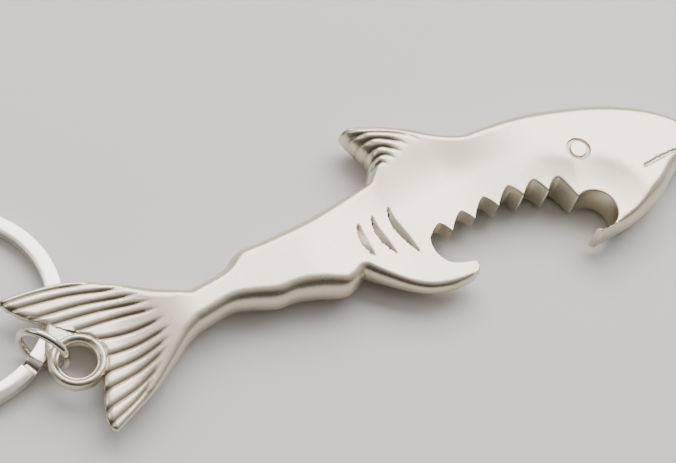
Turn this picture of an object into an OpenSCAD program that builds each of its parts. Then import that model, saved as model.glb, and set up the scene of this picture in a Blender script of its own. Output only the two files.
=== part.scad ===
// Shark-shaped pocket bottle opener with a jump ring and a split key ring.
// One zinc casting lies on the flat of its back (z = 0): +X runs from tail to nose,
// +Y towards the dorsal fin, +Z out of the side that faces up.

/* [Casting] */
// Thickness of the body between its two flats
body_t = 7.2; // [7:0.1:7.6]
// Thickness of the jaws at the mouth, where the walls are square
jaw_t = 5; // [4.6:0.1:5.4]
// Thickness of the tail fin over its ribs
tail_t = 1.8; // [1.6:0.1:1.8]
// Thickness of the dorsal fin
dorsal_t = 3.2; // [2.8:0.1:3.6]
// How far the flats stay back from the outline
flat_inset = 3; // [2.6:0.1:3.4]

/* [Mouth] */
// Radius of the round notch behind the upper lip, which seats the cap's rim
notch_r = 3.3; // [3:0.1:3.5]
// Depth of the deepest scallop between the teeth, the one next to the notch
scallop_depth = 3; // [2.6:0.1:3.1]

/* [Key eyelet] */
// Radius of the eyelet's hole
eyelet_hole_r = 2.55; // [2.5:0.05:2.6]
// Radial width of the eyelet's rim
eyelet_rim_w = 1.45; // [1.4:0.05:1.45]
// Height of the eyelet's rim
eyelet_rim_h = 2.2; // [2:0.1:2.2]

/* [Jump ring] */
// Diameter of the jump ring's round wire
jump_wire = 1.1; // [1:0.05:1.1]
// Outer diameter of the jump ring
jump_od = 8.2; // [8.1:0.05:8.4]

/* [Split ring] */
// Outer diameter of the key ring
split_od = 32; // [31.8:0.1:32.2]
// Width of the flat band
split_band_w = 2.3; // [2.1:0.1:2.3]
// Thickness of one coil
coil_t = 0.8; // [0.75:0.05:0.8]
// How far the jump ring's wire props the key ring up where they cross
split_lift = 0.85; // [0.8:0.05:0.9]

/* [Hidden] */
$fn = 96;
mid_z = body_t / 2;
eyelet_c = [-63.8, -8.7];
jump_r = (jump_od - jump_wire) / 2;
split_r = (split_od - split_band_w) / 2;

// The key ring's centre and the angle from it to the jump ring, which stands at jump_angle and leans.
split_c = [-77.54, 6.04];
link_angle = -49;
jump_c = split_c + (split_r + 0.4) * [cos(link_angle), sin(link_angle)];
jump_angle = -47;
jump_lean = 5;
split_tilt = asin(split_lift / split_od);
// Length of the lower coil's gap, which is centred on the crossing.
strip_gap = 5;

// Back and belly of the body from the tail root to the nose and home again.
back_line = [[-46, -4.1], [-41, -3], [-37.8, -0.9], [-33.5, -0.4], [-27, 0.5], [-20.4, 2],
    [-15, 3.4], [-8, 5.1], [0, 6], [6, 6.5], [12.6, 6.4], [19.2, 5.4], [25.6, 3.8],
    [31.4, 1.4], [35.5, -1.5], [37.8, -4.4]];
snout_line = [[37.9, -6.6], [35.6, -8.4], [31.6, -10.4], [27.5, -13.3], [21.6, -15.7], [17.8, -16.4],
    [14.4, -16.8]];
hook_line = [[-5.2, -14.8], [-5.7, -15.6], [-6.8, -16.1], [-8.6, -16.4], [-11, -16.4], [-13.6, -15.8],
    [-16.2, -14.4], [-19.5, -11.9], [-21.4, -10.3]];
belly_line = [[-21.6, -10.3], [-23.2, -11.4], [-25.3, -11.9], [-29, -10.9], [-32, -10.3], [-35, -10.3],
    [-38.8, -9.2], [-41.2, -8.8], [-44, -9.3], [-46.5, -9.9]];
tail_lines = [
    [[-46.5, -9.9], [-48.6, -11], [-51.4, -13.1], [-55.4, -16.1], [-59.1, -18.2], [-62.3, -20]],
    [[-63.1, -20.1], [-63.6, -19.2], [-63.2, -16.7], [-62.2, -13.5], [-61.1, -11.1], [-60.5, -8.6],
        [-61.2, -6.7], [-62.8, -4.6], [-65.4, -2.6], [-67.9, -0.6], [-70.2, 1.5]],
    [[-71.5, 3.4], [-67.7, 3.6], [-64.7, 3.5], [-61.7, 3.2], [-59.6, 2.6], [-57, 1.4], [-54.7, 0.3],
        [-51.2, -1.7], [-48.2, -3.2], [-46, -4.1]]];
// Thin web that fills the fork between the upper lobe and the eyelet.
fork_web = [[-66, -2], [-67.2, -5.1], [-67.3, -7.4], [-63.8, -8.7], [-60.6, -9], [-60.6, -7]];
dorsal_lines = [
    [[-17, 1.5], [-14.4, 4.6], [-13.4, 6.8], [-13.9, 8.6], [-14.8, 10.8]],
    [[-15.3, 12.6], [-14.6, 13], [-13.2, 13.1], [-9.7, 12.1], [-5.5, 10.1], [-2, 7.9], [0.8, 6.7], [3.5, 6.1],
        [7, 5]]];

// Tips of the teeth from the notch to the hook, the depths between them as shares, and the throat.
tooth_tips = [[13.6, -10], [9.8, -7.7], [5.8, -7.1], [1.7, -7.1], [-2.5, -7.6], [-6.6, -8.3], [-10.3, -8.2]];
scallop_shares = [1, 0.73, 0.82, 0.84, 0.72, 0.6];
scallop_crest = 0.36;
throat_line = [[-10.3, -8.4], [-10.6, -9.2], [-10.6, -10.6], [-10.2, -11.8], [-9.4, -12.9], [-8, -13.6],
    [-6.4, -13.9], [-5.4, -14.2]];
notch_c = [15.2, -13];

// Root and edge of each groove of the tail fin.
tail_grooves = [[[-57.7, 1.5], [-70.6, 2.8]], [[-53.8, -0.9], [-69.8, 1.4]], [[-52.4, -2.6], [-67.6, -0.8]],
    [[-51.5, -4.2], [-65.4, -2.5]], [[-51.1, -5.7], [-62.6, -4.5]], [[-50.8, -7.2], [-61.2, -6.6]],
    [[-50.6, -8.7], [-60.8, -9.4]], [[-51.2, -10.1], [-61.2, -11.8]], [[-52, -11.4], [-61.9, -14.1]],
    [[-53.4, -13.1], [-62.8, -16.8]], [[-55.5, -14.9], [-63, -18.9]]];
tail_groove_w = 0.9;
tail_groove_depth = 0.3;

gill_slits = [[-19.6, -5.7, 3.2], [-16.8, -5.7, 3.7], [-13.7, -5.9, 4.4]];
gill_depth = 0.5;
eye_c = [17.7, -2.9];
eye_r = 1.95;
eye_groove_w = 0.5;
lip_line = [[25.2, -9.2], [28.7, -8.5], [32, -8.1], [34.4, -8.4]];
lip_groove_w = 0.6;
engraving = 0.4;

// A point of the curve through four points, from the second to the third.
function curve_at(p, t) = let (a = p[0], b = p[1], c = p[2], d = p[3])
    0.5 * (2 * b + (c - a) * t + (2 * a - 5 * b + 4 * c - d) * t * t + (3 * b - a - 3 * c + d) * t * t * t);

// A smooth line through the points, with the given number of steps between each two.
function smooth(p, steps = 4) = let (n = len(p))
    [for (i = [0 : n - 2], k = [0 : steps - 1])
        curve_at([p[max(i - 1, 0)], p[i], p[i + 1], p[min(i + 2, n - 1)]], k / steps),
     p[n - 1]];

// One scallop from the tooth tip p to the tooth tip q, with straight flanks and a round crest nearer to p.
function scallop(p, q, depth) = let (steps = 10)
    [for (k = [0 : steps - 1])
        let (t = k / steps, flank = t < scallop_crest ? scallop_crest : 1 - scallop_crest,
             from_crest = abs(t - scallop_crest) / flank)
        p + (q - p) * t + [0, depth * (1 - pow(from_crest, 1.5))]];

function mouth_outline() = concat(
    [[14.4, -30]],
    [for (a = [-125 : 12 : 118]) notch_c + notch_r * [cos(a), sin(a)]],
    [for (i = [0 : len(tooth_tips) - 2])
        each scallop(tooth_tips[i], tooth_tips[i + 1], scallop_depth * scallop_shares[i])],
    smooth(throat_line),
    [[-5.3, -30]]);

module body_plan() {
    polygon(concat(smooth(back_line), smooth(snout_line), [[4, -15]], smooth(hook_line), smooth(belly_line)));
}

module mouth_plan() {
    polygon(mouth_outline());
}

// A slab about the casting's middle plane.
module mid_slab(t) {
    translate([0, 0, mid_z - t / 2])
        linear_extrude(t)
            children();
}

// The same cut into both faces of a slab of thickness t.
module engrave(t, depth) {
    for (z = [mid_z + t / 2 - depth, mid_z - t / 2 - 1])
        translate([0, 0, z])
            linear_extrude(depth + 1)
                children();
}

module body_blank() {
    // Round outside edge, as three steps that draw in towards the faces
    for (step = [[jaw_t - 1.6, 0], [jaw_t - 0.7, 0.5], [jaw_t, 1.1]])
        mid_slab(step[0])
            difference() {
                offset(delta = -step[1])
                    body_plan();
                mouth_plan();
            }
    // Crown between the jaws' face and the flats
    for (step = [[body_t - 0.9, flat_inset - 1], [body_t, flat_inset]])
        mid_slab(step[0])
            offset(r = 1)
                offset(delta = -step[1] - 1)
                    difference() {
                        body_plan();
                        mouth_plan();
                    }
}

module tail_fin() {
    difference() {
        mid_slab(tail_t)
            union() {
                polygon(concat(smooth(tail_lines[0]), smooth(tail_lines[1]), smooth(tail_lines[2])));
                polygon(fork_web);
            }
        engrave(tail_t, tail_groove_depth)
            for (g = tail_grooves)
                let (run = g[1] - g[0], side = [-run[1], run[0]] / norm(run) * tail_groove_w / 2)
                    polygon([g[0], g[1] + 0.2 * run + 1.3 * side, g[1] + 0.2 * run - 1.3 * side]);
    }
}

module dorsal_fin() {
    difference() {
        mid_slab(dorsal_t)
            polygon(concat(smooth(dorsal_lines[0]), smooth(dorsal_lines[1])));
        engrave(dorsal_t, engraving)
            intersection() {
                polygon(smooth(dorsal_lines[1]));
                translate([-3.9, -6.8])
                    for (r = [12.4 : 1.7 : 19.2])
                        difference() {
                            circle(r + 0.7);
                            circle(r);
                        }
            }
    }
}

// Crescent recesses, square at the back and fading towards the front.
module gill_slit(x, y, half) {
    translate([x, y])
        intersection() {
            translate([2.2 * half - 0.7, 0])
                circle(2.2 * half);
            translate([-2.2 * half + 0.7, 0])
                circle(2.2 * half);
        }
}

module eye_ring() {
    translate(eye_c)
        difference() {
            circle(eye_r);
            circle(eye_r - eye_groove_w);
        }
}

module lip_groove() {
    run = smooth(lip_line);
    polygon(concat([for (p = run) p + [0, lip_groove_w / 2]],
        [for (i = [len(run) - 1 : -1 : 0]) run[i] - [0, lip_groove_w / 2]]));
}

module eyelet() {
    translate([eyelet_c[0], eyelet_c[1], mid_z])
        rotate_extrude()
            translate([eyelet_hole_r, 0])
                intersection() {
                    translate([0, -eyelet_rim_h / 2])
                        square([eyelet_rim_w, eyelet_rim_h]);
                    translate([eyelet_rim_w / 2, 0])
                        circle(eyelet_rim_h * 0.55);
                }
}

module shark_body() {
    color("gainsboro")
        union() {
            difference() {
                union() {
                    body_blank();
                    tail_fin();
                    dorsal_fin();
                }
                engrave(body_t, gill_depth)
                    for (g = gill_slits)
                        gill_slit(g[0], g[1], g[2]);
                engrave(body_t, engraving)
                    eye_ring();
                engrave(body_t - 0.9, engraving)
                    lip_groove();
                translate([eyelet_c[0], eyelet_c[1], -1])
                    cylinder(r = eyelet_hole_r + eyelet_rim_w / 2, h = body_t + 2);
            }
            eyelet();
        }
}

module jump_ring() {
    color("silver")
        translate([jump_c[0], jump_c[1], jump_r * cos(jump_lean) + jump_wire / 2])
            rotate([0, 0, jump_angle])
                rotate([90 - jump_lean, 0, 0])
                    rotate_extrude()
                        translate([jump_r, 0])
                            circle(d = jump_wire, $fn = 32);
}

// Two turns of flat strip, pressed together. The lower one has a gap where the jump ring's wire passes.
module coils() {
    difference() {
        rotate([0, 0, 90])
            rotate_extrude()
                translate([split_r - split_band_w / 2, 0])
                    square([split_band_w, 2 * coil_t]);
        translate([split_r - split_band_w, -strip_gap / 2, -1])
            cube([2 * split_band_w, strip_gap, 1 + coil_t]);
    }
}

module split_ring() {
    color("whitesmoke")
        translate([split_c[0], split_c[1], 0])
            rotate([0, 0, link_angle])
                translate([-split_od / 2, 0, 0])
                    rotate([0, -split_tilt, 0])
                        translate([split_od / 2, 0, 0])
                            coils();
}

shark_body();
jump_ring();
split_ring();
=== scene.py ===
import math

import bpy
import numpy as np
from mathutils import Matrix, Vector
from mathutils.geometry import delaunay_2d_cdt


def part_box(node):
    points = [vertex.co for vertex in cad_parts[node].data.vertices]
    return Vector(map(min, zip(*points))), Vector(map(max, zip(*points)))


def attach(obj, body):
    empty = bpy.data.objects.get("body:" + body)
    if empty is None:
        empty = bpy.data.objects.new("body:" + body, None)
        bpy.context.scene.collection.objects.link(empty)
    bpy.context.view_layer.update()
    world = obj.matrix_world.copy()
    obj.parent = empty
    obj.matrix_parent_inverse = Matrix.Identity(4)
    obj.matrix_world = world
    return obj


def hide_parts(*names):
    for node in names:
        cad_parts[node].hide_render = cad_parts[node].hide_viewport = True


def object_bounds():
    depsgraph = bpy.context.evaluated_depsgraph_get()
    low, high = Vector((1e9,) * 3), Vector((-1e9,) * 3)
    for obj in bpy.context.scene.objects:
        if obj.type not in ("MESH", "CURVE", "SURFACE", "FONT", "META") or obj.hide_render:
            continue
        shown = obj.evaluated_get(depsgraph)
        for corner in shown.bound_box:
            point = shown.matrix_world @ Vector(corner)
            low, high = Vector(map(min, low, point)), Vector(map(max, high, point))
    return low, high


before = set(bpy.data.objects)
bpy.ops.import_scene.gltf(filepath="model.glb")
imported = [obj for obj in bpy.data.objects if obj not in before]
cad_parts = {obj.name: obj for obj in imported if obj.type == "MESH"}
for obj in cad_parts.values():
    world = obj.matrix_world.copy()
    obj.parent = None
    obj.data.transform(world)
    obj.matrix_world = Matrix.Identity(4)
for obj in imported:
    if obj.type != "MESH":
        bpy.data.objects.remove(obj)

cad_low, cad_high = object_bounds()


# ---- The camera ----------------------------------------------------------------------------------
# A long lens above the tail end and the belly side, looking down along the casting. The casting lies
# on the flat of its back, and the camera is rolled a little, so that the nose points up and right.
MM = 0.001
VIEW_AZIMUTH, VIEW_ELEVATION, VIEW_ROLL = (math.radians(a) for a in (-38.6, 58.5, 16.3))
VIEW_DISTANCE = 217.1 * MM
SENSOR_WIDTH, LENS = 36.0, 79.9

casting_low, casting_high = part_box("shark_body")
aim = (casting_low + casting_high) / 2 + Vector((-5.3, 1.35, 0)) * MM
turn = (
    Matrix.Rotation(VIEW_AZIMUTH, 3, "Z")
    @ Matrix.Rotation(math.pi / 2 - VIEW_ELEVATION, 3, "X")
    @ Matrix.Rotation(VIEW_ROLL, 3, "Z")
)
camera = bpy.data.objects.new("camera", bpy.data.cameras.new("camera"))
camera.data.lens = LENS
camera.data.sensor_width = SENSOR_WIDTH
camera.data.clip_start = 0.01
camera.matrix_world = Matrix.Translation(aim + turn @ Vector((0, 0, VIEW_DISTANCE))) @ turn.to_4x4()
bpy.context.scene.collection.objects.link(camera)
bpy.context.scene.camera = camera


# ---- The floor -----------------------------------------------------------------------------------
# A pale matt laminate board that the casting and its key ring lie on, with a trace of grain.
def linear_colour(code):
    """An sRGB hex colour such as '#C0FFEE' as the linear RGBA that Blender's sockets take."""
    parts = [int(code[i : i + 2], 16) / 255 for i in (1, 3, 5)]
    return [c / 12.92 if c <= 0.04045 else ((c + 0.055) / 1.055) ** 2.4 for c in parts] + [1.0]


def add_node(tree, kind, inputs=(), **settings):
    """A node with its settings, whose inputs are values or other nodes' outputs."""
    node = tree.nodes.new(kind)
    for name, value in settings.items():
        setattr(node, name, value)
    for key, value in dict(inputs).items():
        if isinstance(value, bpy.types.NodeSocket):
            tree.links.new(value, node.inputs[key])
        else:
            node.inputs[key].default_value = value
    return node


def new_material(name):
    """An empty material, its node tree and its output node."""
    material = bpy.data.materials.new(name)
    material.use_nodes = True
    material.node_tree.nodes.clear()
    return material, material.node_tree, add_node(material.node_tree, "ShaderNodeOutputMaterial")


def new_mesh_object(name, vertices, faces, material):
    """A smooth-shaded mesh object, linked to the scene."""
    mesh = bpy.data.meshes.new(name)
    mesh.from_pydata(vertices, [], faces)
    mesh.materials.append(material)
    mesh.shade_smooth()
    piece = bpy.data.objects.new(name, mesh)
    bpy.context.scene.collection.objects.link(piece)
    return piece


def laminate():
    """Matt melamine laminate, pressed against fine paper: pale, with an almost even sheen."""
    material, tree, out = new_material("matt_white_laminate")
    place = add_node(tree, "ShaderNodeTexCoord").outputs["Object"]
    mottle = add_node(tree, "ShaderNodeTexNoise", {"Vector": place, "Scale": 1 / (40 * MM), "Detail": 3.0})
    tone = add_node(
        tree, "ShaderNodeMix",
        {"Factor": mottle.outputs["Fac"], "A": linear_colour("#DEDDDA"), "B": linear_colour("#E4E3E0")},
        data_type="RGBA",
    )
    shader = add_node(
        tree, "ShaderNodeBsdfPrincipled", {"Base Color": tone.outputs["Result"], "Roughness": 0.55}
    )
    tree.links.new(shader.outputs["BSDF"], out.inputs["Surface"])
    return material


FLOOR_HALF = 0.9
FLOOR_GAP = 0.02 * MM
floor_z = cad_low.z - FLOOR_GAP
corners = [(x, y, floor_z) for x, y in ((-1, -1), (1, -1), (1, 1), (-1, 1))]
floor = new_mesh_object(
    "floor", [(x * FLOOR_HALF, y * FLOOR_HALF, z) for x, y, z in corners], [(0, 1, 2, 3)], laminate()
)


# ---- The studio light ----------------------------------------------------------------------------
# A wide soft box over the far side of the casting, whose reflection fills the satin faces, in a room
# with a white wall on that side and a darker one behind the camera.
def soft_box(name, side, rise, distance, size, watts):
    """An area light aimed at the casting from an azimuth and an elevation, in degrees."""
    data = bpy.data.lights.new(name, "AREA")
    data.shape = "RECTANGLE"
    data.size, data.size_y = size
    data.energy = watts
    turn = Matrix.Rotation(math.radians(side), 3, "Z") @ Matrix.Rotation(math.radians(90 - rise), 3, "X")
    light = bpy.data.objects.new(name, data)
    light.matrix_world = Matrix.Translation(turn @ Vector((0, 0, distance))) @ turn.to_4x4()
    bpy.context.scene.collection.objects.link(light)


soft_box("far_soft_box", side=141.4, rise=50, distance=0.8, size=(1.1, 0.6), watts=10)
soft_box("side_soft_box", side=-120, rise=35, distance=0.9, size=(0.4, 0.4), watts=1.0)

TO_FAR_WALL = (0.53, 0.66, 0.53)
world = bpy.data.worlds.new("studio")
world.use_nodes = True
world.node_tree.nodes.clear()
sky = add_node(world.node_tree, "ShaderNodeTexCoord").outputs["Generated"]
farness = add_node(
    world.node_tree, "ShaderNodeVectorMath", {0: sky, 1: TO_FAR_WALL}, operation="DOT_PRODUCT"
).outputs["Value"]
shade = add_node(
    world.node_tree, "ShaderNodeMapRange",
    {"Value": farness, "From Min": -0.35, "From Max": 0.75, "To Min": 0.06, "To Max": 0.9},
    interpolation_type="SMOOTHSTEP",
).outputs["Result"]
room = add_node(
    world.node_tree, "ShaderNodeBackground", {"Color": linear_colour("#F4F0EA"), "Strength": shade}
)
room_out = add_node(world.node_tree, "ShaderNodeOutputWorld")
world.node_tree.links.new(room.outputs["Background"], room_out.inputs["Surface"])
bpy.context.scene.world = world


# ---- The casting ---------------------------------------------------------------------------------
# One die-casting in zinc, tumbled and plated in satin nickel: a shark whose toothed mouth is the
# opener, whose lower fin is the hook under the cap, and whose tail's fork holds the key eyelet.
# It is one closed skin. Both faces have the same relief, measured up and down from the parting plane.
PLATE_HALF, JAW_HALF, FIN_HALF, TAIL_HALF, LAND = 3.6, 2.5, 1.5, 0.9, 0.22
MID_PLANE = PLATE_HALF
TAIL_CUT, FIN_CUT, LIP_CUT, GILL_CUT, EYE_CUT = 0.3, 0.32, 0.2, 0.5, 0.34

BACK = [(-46, -4.1), (-41, -3), (-37.8, -0.9), (-33.5, -0.4), (-27, 0.5), (-20.4, 2), (-15, 3.4), (-8, 5.1),
        (0, 6), (6, 6.5), (12.6, 6.4), (19.2, 5.4), (25.6, 3.8), (31.4, 1.4), (35.5, -1.5), (37.7, -4.4)]
SNOUT = [(37.7, -4.4), (37.72, -6.4), (35.6, -8.4), (31.6, -10.4), (27.5, -13.3), (21.6, -15.7),
         (17.8, -16.4), (14.4, -16.8)]
HOOK = [(-5.2, -14.8), (-5.7, -15.6), (-6.8, -16.1), (-8.6, -16.4), (-11, -16.4), (-13.6, -15.8),
        (-16.2, -14.4), (-19.5, -11.9), (-21.4, -10.3)]
BELLY = [(-21.6, -10.3), (-23.2, -11.4), (-25.3, -11.9), (-29, -10.9), (-32, -10.3), (-35, -10.3),
         (-38.8, -9.2), (-41.2, -8.8), (-44, -9.3), (-46.5, -9.9)]
TAIL_LOW = [(-46.5, -9.9), (-48.6, -11), (-51.4, -13.1), (-55.4, -16.1), (-59.1, -18.2), (-62.3, -20)]
TAIL_HIGH = [(-71.5, 3.4), (-67.7, 3.6), (-64.7, 3.5), (-61.7, 3.2), (-59.6, 2.6), (-57, 1.4), (-54.7, 0.3),
             (-51.2, -1.7), (-48.2, -3.2), (-46, -4.1)]
FIN_BACK = [(-17, 1.5), (-14.4, 4.6), (-13.4, 6.8), (-13.9, 8.6), (-14.8, 10.8), (-15.3, 12.6)]
FIN_FRONT = [(-15.3, 12.6), (-14.6, 13), (-13.2, 13.1), (-9.7, 12.1), (-5.5, 10.1), (-2, 7.9), (0.8, 6.7),
             (3.5, 6.1), (7, 5)]
THROAT = [(-10.3, -8.3), (-10.6, -9.2), (-10.6, -10.6), (-10.2, -11.8), (-9.4, -12.9), (-8, -13.6),
          (-6.4, -13.9), (-5.4, -14.2)]
TOOTH_TIPS = [(13.6, -10), (9.8, -7.7), (5.8, -7.1), (1.7, -7.1), (-2.5, -7.6), (-6.6, -8.3), (-10.3, -8.3)]
SCALLOP_DEPTHS = (3.0, 2.2, 2.45, 2.5, 2.15, 1.8)
SCALLOP_CREST = 0.36
NOTCH_CENTRE, NOTCH_RADIUS = np.array((15.2, -13.0)), 3.3
EYELET_CENTRE, EYELET_RIM, EYELET_HOLE = np.array((-63.8, -8.7)), 4.0, 2.55
RIM_RADIUS, RIM_HALF_WIDTH, RIM_HALF_HEIGHT = 3.4, 0.6, 1.1
MOUTH_ENDS = ((-5.4, -14.6), (14.4, -16.8))

# The tail's grooves, each from its root to the notch that it ends in at the tail's rear edge.
TAIL_GROOVES = [
    ((-57.7, 1.5), (-70.6, 2.8)), ((-53.8, -0.9), (-69.8, 1.4)), ((-52.4, -2.6), (-67.6, -0.8)),
    ((-51.5, -4.2), (-65.4, -2.5)), ((-51.1, -5.7), (-62.6, -4.5)), ((-50.8, -7.2), (-61.2, -6.6)),
    ((-50.6, -8.7), (-60.8, -9.4)), ((-51.2, -10.1), (-61.2, -11.8)), ((-52, -11.4), (-61.9, -14.1)),
    ((-53.4, -13.1), (-62.8, -16.8)), ((-55.5, -14.9), (-63, -18.9)),
]


def smooth_line(points, step=0.25):
    """Points about step apart on a smooth curve through the given points."""
    p = np.array([points[0], *points, points[-1]], float)
    line = []
    for a, b, c, d in zip(p[:-3], p[1:-2], p[2:-1], p[3:]):
        t = np.arange(max(2, round(np.linalg.norm(c - b) / step)))[:, None]
        t = t / len(t)
        line.append(
            0.5 * (2 * b + (c - a) * t + (2 * a - 5 * b + 4 * c - d) * t**2 + (3 * b - a - 3 * c + d) * t**3)
        )
    return np.vstack([*line, p[-1:]])


def scallop(tip, next_tip, depth):
    """The hollow between two teeth, with a round crest nearer to the first tip."""
    t = np.linspace(0, 1, 21)[:, None]
    from_crest = np.abs(t - SCALLOP_CREST) / np.where(t < SCALLOP_CREST, SCALLOP_CREST, 1 - SCALLOP_CREST)
    return np.array(tip) + (np.array(next_tip) - tip) * t + depth * (1 - from_crest**1.5) * (0, 1)


def arc(centre, radius, start, end, step=0.2):
    """Points on an arc, with its angles in degrees."""
    turns = np.radians(np.linspace(start, end, 2 + int(abs(end - start) * radius * math.pi / 180 / step)))
    return centre + radius * np.c_[np.cos(turns), np.sin(turns)]


notch = arc(NOTCH_CENTRE, NOTCH_RADIUS, -118, 118)
teeth = np.vstack([scallop(a, b, d)[1:] for a, b, d in zip(TOOTH_TIPS, TOOTH_TIPS[1:], SCALLOP_DEPTHS)])
mouth = np.vstack([[(14.4, -16.8)], notch, [TOOTH_TIPS[0]], teeth, smooth_line(THROAT)[1:]])

# The rear edge bulges a little between the grooves' notches.
notches = [TAIL_LOW[-1], *[end for _, end in reversed(TAIL_GROOVES)], TAIL_HIGH[0]]
REAR_BULGE = 0.22
rear = []
for a, b in zip(np.array(notches[:-1]), np.array(notches[1:])):
    t = np.linspace(0, 1, 9)[:-1, None]
    along = (b - a) / np.linalg.norm(b - a)
    rear.append(a + (b - a) * t + REAR_BULGE * np.sin(np.pi * t) ** 0.7 * (-along[1], along[0]))
rear = np.vstack(rear)

body_outline = np.vstack([
    smooth_line(BACK)[:-1], smooth_line(SNOUT)[:-1], mouth, smooth_line(HOOK), smooth_line(BELLY)
])
tail_outline = np.vstack([smooth_line(TAIL_LOW)[:-1], rear, smooth_line(TAIL_HIGH)])
fin_outline = np.vstack([smooth_line(FIN_BACK)[:-1], smooth_line(FIN_FRONT)])
web_outline = np.array([(-66, -2), (-67.2, -5.1), (-67.3, -7.4), (-63.8, -8.7), (-60.6, -9), (-60.6, -7)])
rim_outline = arc(EYELET_CENTRE, EYELET_RIM, 0, 360)[:-1]
hole_outline = arc(EYELET_CENTRE, EYELET_HOLE, 0, 360)[:-1]


def inside(points, outline):
    """Which points lie inside a closed outline."""
    x, y = points[:, :1], points[:, 1:]
    a, b = outline, np.roll(outline, -1, 0)
    spans = (a[:, 1] > y) != (b[:, 1] > y)
    rise = np.where(b[:, 1] == a[:, 1], 1e-9, b[:, 1] - a[:, 1])
    return (np.sum(spans & (x < a[:, 0] + (y - a[:, 1]) * (b[:, 0] - a[:, 0]) / rise), 1) % 2).astype(bool)


def in_casting(points):
    """Which points lie inside the casting's outline, seen from above."""
    solid = np.zeros(len(points), bool)
    for outline in (body_outline, tail_outline, fin_outline, web_outline, rim_outline):
        solid |= inside(points, outline)
    return solid & ~inside(points, hole_outline)


def nearest(points, line, closed=False, reach=1e3):
    """The distance to a line, the side it is on (+ left, - right) and how far along it that is, 0 to 1.
    A point further than reach from the line's own box gets a distance of reach."""
    a = line if closed else line[:-1]
    b = np.roll(line, -1, 0) if closed else line[1:]
    run = b - a
    length = np.linalg.norm(run, axis=1)
    before = np.concatenate([[0], np.cumsum(length)])[:-1]
    out = np.tile([[reach], [1.0], [0.0]], len(points))
    close = np.flatnonzero(np.all((points > line.min(0) - reach) & (points < line.max(0) + reach), 1))
    for first in range(0, len(close), 4000):
        chunk = close[first : first + 4000]
        p = points[chunk, None, :]
        t = np.clip(np.sum((p - a) * run, 2) / length**2, 0, 1)
        gap = p - a - run * t[..., None]
        far = np.sum(gap**2, 2)
        k = np.argmin(far, 1)
        i = np.arange(len(k))
        side = run[k, 0] * gap[i, k, 1] - run[k, 1] * gap[i, k, 0]
        out[:, chunk] = np.sqrt(far[i, k]), np.sign(side), (before[k] + t[i, k] * length[k]) / length.sum()
    return out


def triangles_of(points, edges):
    """The plane's triangulation through these points and edges: points, edges and triangles."""
    found = delaunay_2d_cdt([Vector(p) for p in points], edges, [], 0, 1e-5, False)
    xy = np.array([tuple(v) for v in found[0]])
    faces = np.array(found[2])
    a, b, c = (xy[faces[:, k]] for k in range(3))
    turn = (b[:, 0] - a[:, 0]) * (c[:, 1] - a[:, 1]) - (b[:, 1] - a[:, 1]) * (c[:, 0] - a[:, 0])
    faces[turn < 0] = faces[turn < 0][:, ::-1]
    return xy, faces[in_casting((a + b + c) / 3)]


def rims_of(faces):
    """The triangulation's boundary edges, in order round each loop."""
    pairs = np.vstack([faces[:, [0, 1]], faces[:, [1, 2]], faces[:, [2, 0]]])
    known = {tuple(e) for e in pairs.tolist()}
    follow = {a: b for a, b in pairs.tolist() if (b, a) not in known}
    loops = []
    while follow:
        start, at = follow.popitem()
        loop = [start]
        while at != start:
            loop.append(at)
            at = follow.pop(at)
        loops.append(loop)
    return loops


def loop_edges(first, count):
    """The edges that close a ring of points numbered from first."""
    return [(first + k, first + (k + 1) % count) for k in range(count)]


# First pass: the outlines are crossed with each other, which leaves the casting's own edge.
outlines = [body_outline, tail_outline, fin_outline, web_outline, rim_outline, hole_outline]
corner_points, corner_edges = [], []
for outline in outlines:
    corner_edges += loop_edges(len(corner_points), len(outline))
    corner_points += outline.tolist()
xy, faces = triangles_of(corner_points, corner_edges)
rims = [xy[loop] for loop in rims_of(faces)]


RIM_STEP = 0.25


def even_rim(rim):
    """The loop with its long edges cut to about a rim step and its shortest ones joined."""
    points = []
    for a, b in zip(rim, np.roll(rim, -1, 0)):
        gap = np.linalg.norm(b - a)
        if points and np.linalg.norm(a - points[-1]) < 0.05:
            continue
        count = max(1, round(gap / RIM_STEP))
        points += [a + (b - a) * k / count for k in range(count)]
    return np.array(points)


rims = [even_rim(rim) for rim in rims]
LONG_LOOP = 400
outer_line = np.vstack([rim for rim in rims if len(rim) > LONG_LOOP])


def ease(low, high, value):
    """A smooth step from 0 at low to 1 at high."""
    t = np.clip((value - low) / (high - low), 0, 1)
    return t * t * (3 - 2 * t)


# The part of the edge that is rounded, which is all of it but the mouth and the eyelet's hole.
mouth_gap = nearest(outer_line, mouth)[0]
rounded = outer_line[mouth_gap > 0.02]


def soft_distance(points):
    """The distance to the rounded edge, without a ridge where two edges are equally near."""
    exact = np.zeros(len(points))
    soft = np.zeros(len(points))
    power = 8
    for first in range(0, len(points), 4000):
        far = np.sum((points[first : first + 4000, None, :] - rounded) ** 2, 2) + 1e-6
        exact[first : first + 4000] = np.sqrt(far.min(1))
        soft[first : first + 4000] = np.sum(far ** (-power / 2), 1)
    # On a straight edge with a point at each rim step, and at this power, the sum is
    # 0.9817 / RIM_STEP * distance ** (1 - power).
    soft = (soft * RIM_STEP / 0.9817) ** (-1 / (power - 1))
    blend = ease(0.6, 1.4, exact)
    return exact * (1 - blend) + soft * blend


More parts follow.
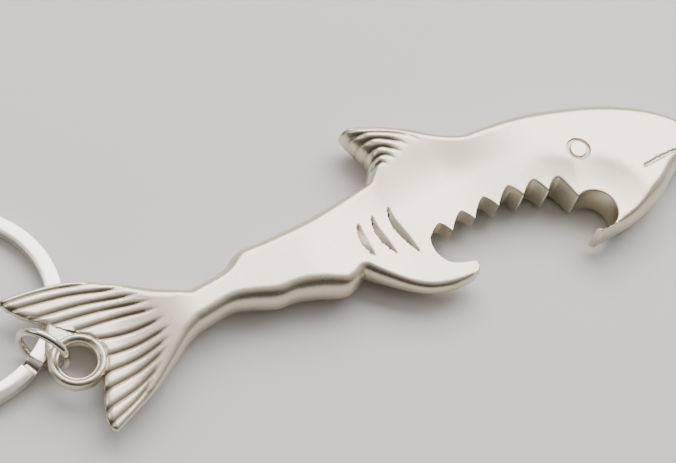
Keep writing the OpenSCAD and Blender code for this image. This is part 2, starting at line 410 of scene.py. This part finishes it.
gill_lines = [smooth_line(p, 0.1) for p in (
    [(-19.5, -2.8), (-20.4, -4.4), (-20.5, -6.5), (-19.3, -8.9)],
    [(-17.0, -2.0), (-17.7, -4), (-17.5, -6.4), (-16.0, -9.4)],
    [(-14.1, -1.4), (-14.8, -3.8), (-14.3, -6.8), (-12.7, -10.3)])]
gill_backs = [smooth_line(p, 0.1) for p in (
    [(-19.5, -2.8), (-19.3, -4.3), (-19.1, -6.4), (-19.3, -8.9)],
    [(-17.0, -2.0), (-16.7, -4), (-16.2, -6.4), (-16.0, -9.4)],
    [(-14.1, -1.4), (-13.7, -3.8), (-13.0, -6.8), (-12.7, -10.3)])]
EYE_CENTRE, EYE_RADIUS, EYE_BAND = np.array((17.3, -3.0)), 1.58, 0.36
lip_line = smooth_line([(25.2, -9.2), (28.7, -8.5), (32.0, -8.1), (34.4, -8.4)])
fin_grooves = [smooth_line(p) for p in (
    [(-14.7, 12.3), (-12.6, 12.0), (-10.0, 11.1), (-7.2, 9.8), (-4.7, 8.4), (-2.6, 6.9)],
    [(-14.5, 10.8), (-11.8, 10.5), (-9.6, 9.8), (-6.9, 8.4), (-4.6, 6.4)],
    [(-14.0, 9.2), (-12.1, 9.2), (-10.4, 8.7), (-8.5, 7.7), (-6.8, 6.3)],
    [(-13.5, 7.5), (-11.7, 7.6), (-10.3, 7.2), (-8.2, 5.6)],
    [(-13.5, 6.0), (-11.9, 6.3), (-10.7, 5.9), (-9.7, 5.0)],
    [(-13.8, 4.8), (-12.3, 5.2), (-11.3, 4.6)])]
tail_grooves = []
for root, end in TAIL_GROOVES:
    root, end = np.array(root), np.array(end)
    middle = (root + end) / 2 + 0.04 * np.array((root - end)[::-1]) * (-1, 1) * np.sign(end[1] + 6)
    tail_grooves.append(smooth_line([root, middle, end]))
back_line = smooth_line(BACK)
bite_line = smooth_line([
    (14.4, -16.8), (17.4, -15.5), (18.5, -13), (17.3, -10.6), *TOOTH_TIPS[:-1], (-10.2, -8.6), (-10.6, -10.6),
    (-9.4, -12.9), (-5.4, -14.2)])


def valley(gap, spread, depth):
    """How deep a groove is cut at a distance from its line: its two sides are convex and meet in a V."""
    return depth * np.clip(1 - gap / spread, 0, 1) ** 1.7


def relief(points):
    """Half the casting's thickness at each point in mm, and how deep that lies in a groove."""
    x, y = points.T
    back_gap, back_side, _ = nearest(points, back_line, reach=12)
    above_back = -back_gap * back_side
    # The plate is thinner towards the nose and the tail, and thinner again in the two fins.
    plate = PLATE_HALF - 0.8 * ease(22, 38, x) - 0.9 * ease(-18, -46, x)
    plate = plate - (plate - TAIL_HALF) * ease(-46, -58.5, x)
    in_fin = ease(-6, 7, above_back) * ease(14, -4, x) * ease(-30, -14, x)
    plate = plate * (1 - in_fin) + FIN_HALF * in_fin
    # Its edge is rounded off, more tightly at the two ends of the mouth and along the back.
    to_tip = np.min([np.hypot(x - end_x, y - end_y) for end_x, end_y in MOUTH_ENDS], 0)
    round_off = plate * (1.05 - 0.4 * ease(-7, -1, above_back)) * (0.3 + 0.7 * ease(0.3, 6, to_tip))
    edge = 1 - np.clip(soft_distance(points) / round_off, 0, 1)
    half = LAND + (plate - LAND) * np.sqrt(1 - edge**2)
    # The jaws are square at the mouth, with a broken edge, and thicken away from the line of the bite.
    mouth_gap = nearest(points, mouth, reach=8)[0]
    bite_gap = nearest(points, bite_line, reach=12)[0]
    bevel = 0.2
    square = JAW_HALF + 0.1 + (PLATE_HALF - JAW_HALF) * ease(-0.5, 9, bite_gap) + 0.7 * ease(4, 14, bite_gap)
    square -= bevel * (1 - np.sqrt(1 - (1 - np.clip(mouth_gap / bevel, 0, 1)) ** 2))
    blend = 0.12
    half = -blend * np.log(np.exp(-half / blend) + np.exp(-square / blend))

    cut = np.zeros(len(points))
    for line in tail_grooves:
        gap, _, along = nearest(points, line, reach=2)
        cut = np.maximum(cut, valley(gap, 0.36 + 0.34 * along, TAIL_CUT * ease(0, 0.25, along)))
    for line in fin_grooves:
        gap, _, along = nearest(points, line, reach=1)
        cut = np.maximum(cut, valley(gap, 0.5, FIN_CUT * ease(0, 0.5, 1 - along)))
    gap, _, along = nearest(points, lip_line, reach=1)
    cut = np.maximum(cut, LIP_CUT * ease(0, 0.14, 0.32 - gap) * ease(0, 0.1, along))
    for front, rear_side in zip(gill_lines, gill_backs):
        crescent = np.vstack([front, rear_side[-2:0:-1]])
        near = np.flatnonzero(inside(points, crescent))
        to_front, to_rear = nearest(points[near], front)[0], nearest(points[near], rear_side)[0]
        slope = to_rear / (to_front + to_rear)
        sunk = GILL_CUT * slope * ease(0, 0.12, to_front) * ease(0, 0.3, to_rear)
        cut[near] = np.maximum(cut[near], sunk)
    eye_gap = np.abs(np.hypot(*(points - EYE_CENTRE).T) - EYE_RADIUS)
    cut = np.maximum(cut, EYE_CUT * ease(0, 0.13, EYE_BAND - eye_gap))
    half = np.maximum(half - cut, LAND)

    # The web in the tail's fork is thin, and the eyelet's rim stands over it as a rounded ring.
    from_eyelet = np.hypot(*(points - EYELET_CENTRE).T)
    in_web = inside(points, web_outline) & ~inside(points, tail_outline)
    half = np.where(in_web, LAND + 0.45 * np.sqrt(np.clip(soft_distance(points) / 0.4, 0, 1)), half)
    rim_at = np.clip((from_eyelet - RIM_RADIUS) / RIM_HALF_WIDTH, -1, 1)
    rim = LAND + (RIM_HALF_HEIGHT - LAND) * np.sqrt(1 - rim_at**2)
    step = 0.55 + 0.15 * ease(EYELET_HOLE, EYELET_HOLE + 0.1, from_eyelet)
    on_rim = from_eyelet < EYELET_RIM + 1e-6
    flat = np.where(from_eyelet < RIM_RADIUS, step, np.minimum(half, 0.7))
    half = np.where(on_rim, np.maximum(rim, flat), half)
    return half, cut


def rows(line, offsets, closed=False, step=0.3):
    """Points beside a line, at these distances to its left."""
    spaced = line[:: max(1, round(step / max(1e-6, np.linalg.norm(line[1] - line[0]))))]
    ahead = np.roll(spaced, -1, 0) - np.roll(spaced, 1, 0)
    if not closed:
        ahead[0], ahead[-1] = spaced[1] - spaced[0], spaced[-1] - spaced[-2]
    left = np.c_[-ahead[:, 1], ahead[:, 0]] / np.linalg.norm(ahead, axis=1)[:, None]
    return [spaced + d * left for d in offsets]


def apart(points, others, least):
    """The points that are at least this far from all the others, and from each other if there are none."""
    cells = {}
    for q in others:
        cells.setdefault((int(q[0] // least), int(q[1] // least)), []).append(q)
    kept = []
    for p in points:
        i, j = int(p[0] // least), int(p[1] // least)
        close = [q for a in (i - 1, i, i + 1) for b in (j - 1, j, j + 1) for q in cells.get((a, b), ())]
        if all((p[0] - q[0]) ** 2 + (p[1] - q[1]) ** 2 >= least**2 for q in close):
            kept.append(p)
            if not len(others):
                cells.setdefault((i, j), []).append(p)
    return np.array(kept)


def gap_to_rims(points):
    """The distance from each point to the nearest rim."""
    return np.min([nearest(points, rim, closed=True)[0] for rim in rims], 0)


# Second pass: rows of points along the edge and the grooves, and an even field between them.
EDGE_ROWS = (0.04, 0.13, 0.3, 0.55)
edge_points = []
for rim in rims:
    for offset in EDGE_ROWS:
        row = rows(rim, [offset], closed=True, step=0.01)[0]
        edge_points.append(row[(gap_to_rims(row) > 0.85 * offset) & in_casting(row)])

# The grooves' own lines, and the step from the tail down to the web, are edges of the triangulation.
detail, creases, crease_edges = [], [], []
web_step = rear[inside(rear, web_outline) & (np.hypot(*(rear - EYELET_CENTRE).T) > EYELET_RIM + 0.1)]
breaks = 1 + np.flatnonzero(np.linalg.norm(np.diff(web_step, axis=0), axis=1) > 1)
for line in (*tail_grooves, *fin_grooves, *np.split(web_step, breaks)):
    if len(line) < 3:
        continue
    detail += rows(line, (-0.3, -0.12, 0.12, 0.3))
    crease = rows(line, [0])[0]
    crease = crease[in_casting(crease) & (gap_to_rims(crease) > 0.08)]
    crease_edges += [(len(creases) + k, len(creases) + k + 1) for k in range(len(crease) - 1)]
    creases += crease.tolist()
detail += rows(lip_line, (-0.3, -0.18, 0.18, 0.3))
for line in gill_lines:
    detail += rows(line, (-0.05, 0.0, 0.07, 0.15), step=0.2)
for radius in (-EYE_BAND, -EYE_BAND + 0.13, 0, EYE_BAND - 0.13, EYE_BAND):
    detail.append(arc(EYE_CENTRE, EYE_RADIUS + radius, 0, 360)[:-1])
for radius in (2.68, 2.8, 2.86, 2.95, 3.15, 3.4, 3.65, 3.82, 3.93):
    detail.append(arc(EYELET_CENTRE, radius, 0, 360)[:-1])
detail = apart(apart(np.vstack(detail), creases, 0.1), [], 0.065)
detail = detail[in_casting(detail)]
detail = detail[gap_to_rims(detail) > 0.06]

# An even field of points fills the rest, in rows that make nearly equal-sided triangles.
GRID = 0.26
grid_x, grid_y = np.meshgrid(np.arange(-72, 38.5, GRID), np.arange(-21, 13, GRID * 0.866))
grid_x[1::2] += GRID / 2
grid = np.c_[grid_x.ravel(), grid_y.ravel()]
grid = grid[in_casting(grid)]
grid = grid[gap_to_rims(grid) > 0.75]
edge_points = apart(np.vstack(edge_points), np.vstack([creases, detail]), 0.09)
grid = apart(grid, np.vstack([creases, detail, edge_points]), 0.17)

points, edges = list(creases), list(crease_edges)
for rim in rims:
    edges += loop_edges(len(points), len(rim))
    points += rim.tolist()
points += edge_points.tolist() + detail.tolist() + grid.tolist()
xy, faces = triangles_of(points, edges)
half, cut = relief(xy)
rim_loops = rims_of(faces)

# The two faces and the wall round each rim, without the points that no triangle uses.
used = np.unique(faces)
new_number = np.full(len(xy), -1)
new_number[used] = np.arange(len(used))
xy, half, cut, faces = xy[used], half[used], cut[used], new_number[faces]
rim_loops = [[int(new_number[k]) for k in loop] for loop in rim_loops]
count = len(xy)
skin = np.vstack([np.c_[xy, MID_PLANE + half], np.c_[xy, MID_PLANE - half]]) * MM
skin_faces = faces.tolist() + (faces[:, ::-1] + count).tolist()
for loop in rim_loops:
    skin_faces += [(b, a, a + count, b + count) for a, b in zip(loop, loop[1:] + loop[:1])]


def satin_nickel():
    """Satin nickel plate on tumbled die-cast zinc: a warm grey metal with a fine pearl bloom, an
    uneven gloss, and painted shade in the grooves and recesses, darker the deeper they are cut."""
    material, tree, out = new_material("satin_nickel_plate")
    place = add_node(tree, "ShaderNodeTexCoord").outputs["Object"]
    # How deep the relief is cut at each point. The painted shade below follows it.
    groove = add_node(tree, "ShaderNodeAttribute", attribute_name="groove").outputs["Fac"]
    bloom = add_node(tree, "ShaderNodeTexNoise", {"Vector": place, "Scale": 1 / (9 * MM), "Detail": 4.0})
    grain = add_node(tree, "ShaderNodeTexNoise", {"Vector": place, "Scale": 1 / (0.22 * MM), "Detail": 2.0})
    plain = add_node(
        tree, "ShaderNodeMix",
        {"Factor": bloom.outputs["Fac"], "A": linear_colour("#DCCFB9"), "B": linear_colour("#E3D8C4")},
        data_type="RGBA",
    )
    # Painted shade: the colour is mixed towards a dark brown-grey where the relief is cut deepest, in the
    # tail and fin grooves, the gills, the eye ring and the lip line.
    tone = add_node(
        tree, "ShaderNodeMix",
        {"Factor": groove, "A": plain.outputs["Result"], "B": linear_colour("#8F8375")},
        data_type="RGBA",
    )
    gloss = add_node(
        tree, "ShaderNodeMapRange",
        {"Value": grain.outputs["Fac"], "From Min": 0.3, "From Max": 0.7, "To Min": 0.27, "To Max": 0.36},
    )
    bump = add_node(
        tree, "ShaderNodeBump",
        {"Height": grain.outputs["Fac"], "Strength": 0.12, "Distance": 0.02 * MM},
    )
    shader = add_node(
        tree, "ShaderNodeBsdfPrincipled",
        {"Base Color": tone.outputs["Result"], "Metallic": 1.0, "Roughness": gloss.outputs["Result"],
         "Normal": bump.outputs["Normal"]},
    )
    tree.links.new(shader.outputs["BSDF"], out.inputs["Surface"])
    return material


casting = new_mesh_object("shark_casting", skin.tolist(), skin_faces, satin_nickel())
casting.data.set_sharp_from_angle(angle=math.radians(48))
# Each point's cut depth, as a share of the gill's depth, drives the material's painted shade in the grooves.
groove = casting.data.attributes.new("groove", "FLOAT", "POINT")
groove.data.foreach_set("value", np.tile(np.clip(cut / GILL_CUT, 0, 1), 2).astype(np.float32))
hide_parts("shark_body")
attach(casting, "shark_body")


# ---- The jump ring -------------------------------------------------------------------------------
# A piece of round steel wire, nickel plated bright, wound on a mandrel and cut, then closed with
# pliers through the eyelet and round the key ring. Its two ends almost meet.
JUMP_WIRE, JUMP_OUTER, JUMP_LEAN, JUMP_ANGLE = 1.1, 8.2, 5.0, -47.0
END_GAP, END_GAP_ANGLE, LINK_OFFSET = 0.12, -70.0, 0.4
KEY_OUTER, BAND, COIL, LINK_ANGLE, KEY_LIFT = 32.0, 2.3, 0.8, -49.0, 0.85
KEY_CENTRE = Vector((-77.54, 6.04, 0)) * MM


def shape_tree(name, sizes):
    """A Geometry Nodes tree with one named input for each size, and the sizes' sockets by name."""
    tree = bpy.data.node_groups.new(name, "GeometryNodeTree")
    tree.interface.new_socket("Geometry", in_out="OUTPUT", socket_type="NodeSocketGeometry")
    sockets = {}
    for size in sizes:
        sockets[size] = tree.interface.new_socket(size, in_out="INPUT", socket_type="NodeSocketFloat")
    return tree, sockets, add_node(tree, "NodeGroupInput").outputs


def maths(tree, operation, *values):
    """The result of one Math node."""
    return add_node(tree, "ShaderNodeMath", dict(enumerate(values)), operation=operation).outputs[0]


def finish_tree(tree, shape, material):
    """Ends the tree in real geometry with its material."""
    real = add_node(tree, "GeometryNodeRealizeInstances", {"Geometry": shape})
    painted = add_node(tree, "GeometryNodeSetMaterial", {"Geometry": real.outputs[0], "Material": material})
    out = add_node(tree, "NodeGroupOutput")
    tree.links.new(painted.outputs[0], out.inputs["Geometry"])


def made_by(name, tree, sockets, sizes, place):
    """The plain mesh that a tree makes with these sizes, put in its place."""
    holder = bpy.data.objects.new(name + "_holder", bpy.data.meshes.new(name + "_holder"))
    bpy.context.scene.collection.objects.link(holder)
    modifier = holder.modifiers.new("shape", "NODES")
    modifier.node_group = tree
    for size, value in sizes.items():
        modifier[sockets[size].identifier] = value
    bpy.context.view_layer.update()
    evaluated = holder.evaluated_get(bpy.context.evaluated_depsgraph_get())
    mesh = bpy.data.meshes.new_from_object(evaluated)
    holder.modifiers.remove(modifier)
    bpy.data.objects.remove(holder)
    mesh.name = name
    mesh.transform(place)
    mesh.shade_smooth()
    mesh.set_sharp_from_angle(angle=math.radians(40))
    piece = bpy.data.objects.new(name, mesh)
    bpy.context.scene.collection.objects.link(piece)
    return piece


def bright_nickel():
    """Bright nickel plate on steel, polished before plating: a mirror with a warm tint, faint draw
    marks that run along the wire, and a few rubbed patches."""
    material, tree, out = new_material("bright_nickel_plated_steel")
    place = add_node(tree, "ShaderNodeTexCoord").outputs["Object"]
    along = add_node(tree, "ShaderNodeAttribute", attribute_name="along").outputs["Fac"]
    across = add_node(tree, "ShaderNodeAttribute", attribute_name="across").outputs["Fac"]
    lengthwise = add_node(tree, "ShaderNodeCombineXYZ", {"X": along, "Y": across})
    # The draw marks are coarser than real ones, so that they show.
    mark_length, mark_width = 4 * MM, 0.1 * MM
    marks = add_node(
        tree, "ShaderNodeMapping",
        {"Vector": lengthwise.outputs[0], "Scale": (1 / mark_length, 1 / mark_width, 1)},
    )
    drawn = add_node(tree, "ShaderNodeTexNoise", {"Vector": marks.outputs[0], "Scale": 1.0, "Detail": 2.0})
    rubbed = add_node(tree, "ShaderNodeTexNoise", {"Vector": place, "Scale": 1 / (5 * MM), "Detail": 3.0})
    tone = add_node(
        tree, "ShaderNodeMix",
        {"Factor": rubbed.outputs["Fac"], "A": linear_colour("#DAD4C8"), "B": linear_colour("#E6E1D7")},
        data_type="RGBA",
    )
    gloss = add_node(
        tree, "ShaderNodeMapRange",
        {"Value": rubbed.outputs["Fac"], "From Min": 0.3, "From Max": 0.7, "To Min": 0.1, "To Max": 0.17},
    )
    bump = add_node(
        tree, "ShaderNodeBump", {"Height": drawn.outputs["Fac"], "Strength": 0.1, "Distance": 0.01 * MM}
    )
    shader = add_node(
        tree, "ShaderNodeBsdfPrincipled",
        {"Base Color": tone.outputs["Result"], "Metallic": 1.0, "Roughness": gloss.outputs["Result"],
         "Normal": bump.outputs["Normal"]},
    )
    tree.links.new(shader.outputs["BSDF"], out.inputs["Surface"])
    return material


def swept(tree, path, profile):
    """A closed strip or wire: the profile carried along the path. Each point keeps its distance along
    and across as attributes."""
    lengths = add_node(tree, "GeometryNodeSplineParameter").outputs["Length"]
    path = add_node(
        tree, "GeometryNodeStoreNamedAttribute", {"Geometry": path, "Name": "along", "Value": lengths}
    )
    profile = add_node(
        tree, "GeometryNodeStoreNamedAttribute", {"Geometry": profile, "Name": "across", "Value": lengths}
    )
    return add_node(
        tree, "GeometryNodeCurveToMesh",
        {"Curve": path.outputs[0], "Profile Curve": profile.outputs[0], "Fill Caps": True},
    ).outputs[0]


nickel = bright_nickel()
tree, sockets, size = shape_tree("wire_ring", ("Wire diameter", "Outer diameter", "End gap", "Gap angle"))
wire_radius = maths(tree, "DIVIDE", size["Wire diameter"], 2.0)
ring_radius = maths(tree, "SUBTRACT", maths(tree, "DIVIDE", size["Outer diameter"], 2.0), wire_radius)
gap_turn = maths(tree, "DIVIDE", size["End gap"], ring_radius)
path = add_node(
    tree, "GeometryNodeCurveArc",
    {"Resolution": 160, "Radius": ring_radius, "Start Angle": size["Gap angle"],
     "Sweep Angle": maths(tree, "SUBTRACT", math.tau, gap_turn)},
)
section = add_node(tree, "GeometryNodeCurvePrimitiveCircle", {"Resolution": 28, "Radius": wire_radius})
finish_tree(tree, swept(tree, path.outputs[0], section.outputs[0]), nickel)

jump_radius = (JUMP_OUTER - JUMP_WIRE) / 2
key_middle = (KEY_OUTER - BAND) / 2
link = Matrix.Rotation(math.radians(LINK_ANGLE), 3, "Z") @ Vector((key_middle + LINK_OFFSET, 0, 0))
jump_centre = KEY_CENTRE + link * MM
jump_centre.z = (jump_radius * math.cos(math.radians(JUMP_LEAN)) + JUMP_WIRE / 2) * MM
jump_place = (
    Matrix.Translation(jump_centre)
    @ Matrix.Rotation(math.radians(JUMP_ANGLE), 4, "Z")
    @ Matrix.Rotation(math.radians(90 - JUMP_LEAN), 4, "X")
)
jump_sizes = {
    "Wire diameter": JUMP_WIRE * MM, "Outer diameter": JUMP_OUTER * MM, "End gap": END_GAP * MM,
    "Gap angle": math.radians(END_GAP_ANGLE),
}
jump = made_by("jump_ring_wire", tree, sockets, jump_sizes, jump_place)
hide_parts("jump_ring")
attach(jump, "jump_ring")


# ---- The key ring --------------------------------------------------------------------------------
# A flat strip of spring steel, nickel plated, wound twice round. The lower turn climbs to the upper
# one just past the square-cut end of the upper turn, beside the jump ring, which props it up there.
CUT_ANGLE, CLIMB_END, LOWER_END, CUT_CLEARANCE = -10.6, -4.6, 10.0, 0.6
EDGE_ROUNDING, STRIP_SHARE = 0.09, 0.97

tree, sockets, size = shape_tree(
    "flat_coil",
    ("Outer diameter", "Band width", "Coil thickness", "Lower end", "Climb start", "Climb end", "Cut end"),
)
middle_radius = maths(
    tree, "DIVIDE", maths(tree, "SUBTRACT", size["Outer diameter"], size["Band width"]), 2.0
)
straight = add_node(tree, "GeometryNodeCurvePrimitiveLine", {"Start": (0, 0, 0), "End": (1, 0, 0)})
points_on = add_node(tree, "GeometryNodeResampleCurve", {"Curve": straight.outputs[0], "Count": 640})
share = add_node(tree, "GeometryNodeSplineParameter").outputs["Factor"]
turn_at = add_node(
    tree, "ShaderNodeMapRange", {"Value": share, "To Min": size["Lower end"], "To Max": size["Cut end"]}
).outputs["Result"]
level = add_node(
    tree, "ShaderNodeMapRange",
    {"Value": turn_at, "From Min": size["Climb start"], "From Max": size["Climb end"],
     "To Min": 0.5, "To Max": 1.5},
    interpolation_type="SMOOTHSTEP",
).outputs["Result"]
spot = add_node(
    tree, "ShaderNodeCombineXYZ",
    {"X": maths(tree, "MULTIPLY", middle_radius, maths(tree, "COSINE", turn_at)),
     "Y": maths(tree, "MULTIPLY", middle_radius, maths(tree, "SINE", turn_at)),
     "Z": maths(tree, "MULTIPLY", level, size["Coil thickness"])},
)
wound = add_node(
    tree, "GeometryNodeSetPosition", {"Geometry": points_on.outputs[0], "Position": spot.outputs[0]}
)
upright = add_node(tree, "GeometryNodeSetCurveNormal", {"Curve": wound.outputs[0]}, mode="Z_UP")
flat_bar = add_node(
    tree, "GeometryNodeCurvePrimitiveQuadrilateral",
    {"Width": size["Band width"], "Height": maths(tree, "MULTIPLY", size["Coil thickness"], STRIP_SHARE)},
)
rounded_bar = add_node(
    tree, "GeometryNodeFilletCurve",
    {"Curve": flat_bar.outputs[0], "Count": 3, "Radius": EDGE_ROUNDING * MM, "Limit Radius": True},
    mode="POLY",
)
finish_tree(tree, swept(tree, upright.outputs[0], rounded_bar.outputs[0]), nickel)

tilt = math.asin(KEY_LIFT / KEY_OUTER)
edge = Matrix.Translation((KEY_OUTER / 2 * MM, 0, 0))
key_place = (
    Matrix.Translation(KEY_CENTRE)
    @ Matrix.Rotation(math.radians(LINK_ANGLE), 4, "Z")
    @ edge.inverted() @ Matrix.Rotation(-tilt, 4, "Y") @ edge
)
key_sizes = {
    "Outer diameter": KEY_OUTER * MM, "Band width": BAND * MM, "Coil thickness": COIL * MM,
    "Lower end": math.radians(LOWER_END), "Climb start": math.radians(360 + CUT_ANGLE),
    "Climb end": math.radians(360 + CLIMB_END), "Cut end": math.radians(720 + CUT_ANGLE - CUT_CLEARANCE),
}
key_ring = made_by("split_key_ring", tree, sockets, key_sizes, key_place)
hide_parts("split_ring")
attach(key_ring, "split_ring")
